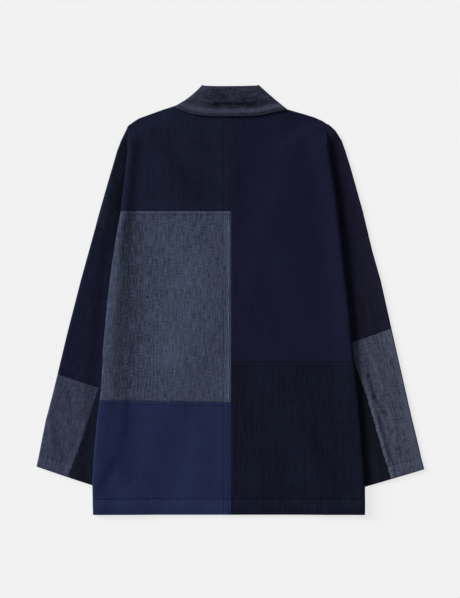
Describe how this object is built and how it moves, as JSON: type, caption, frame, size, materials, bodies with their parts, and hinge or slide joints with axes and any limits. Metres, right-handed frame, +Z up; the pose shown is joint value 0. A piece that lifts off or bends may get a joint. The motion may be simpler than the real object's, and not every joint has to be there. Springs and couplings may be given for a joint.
{
  "type": "patchwork jacket laid flat",
  "caption": "Boxy drop-shouldered patchwork jacket laid flat with its back up, its sleeves swung down and tucked under the body, and a band collar.",
  "frame": {"origin": "the middle of the box in plan, on the surface that the jacket lies on", "axes": "+Z up out of the back, +Y toward the collar, +X to the right of someone who looks down at the back"},
  "size_m": [0.6974, 0.7733, 0.0116],
  "materials": {
    "slub_indigo": "matte slubbed plain weave",
    "pale_crosshatch": "matte crosshatched basket weave",
    "bright_navy": "matte washed twill",
    "smooth_indigo": "matte fine twill",
    "black_slub": "matte slub stripe",
    "sleeve_indigo": "matte dark slub",
    "collar_heather": "matte heathered weave"
  },
  "bodies": {
    "root": {"back_yoke_left": "slub_indigo", "back_middle_left": "pale_crosshatch", "back_lower_left": "bright_navy", "back_upper_right": "smooth_indigo", "back_lower_right": "black_slub", "front_left": "slub_indigo", "front_right": "slub_indigo", "drop_shoulder_left": "sleeve_indigo", "drop_shoulder_right": "sleeve_indigo", "sleeve_upper_left": "sleeve_indigo", "sleeve_upper_right": "sleeve_indigo", "sleeve_patch_left": "pale_crosshatch", "sleeve_patch_right": "pale_crosshatch", "sleeve_strip_left": "black_slub", "sleeve_strip_right": "black_slub", "collar_back": "collar_heather", "collar_front_left": "collar_heather", "collar_front_right": "collar_heather"}
  },
  "joints": []
}
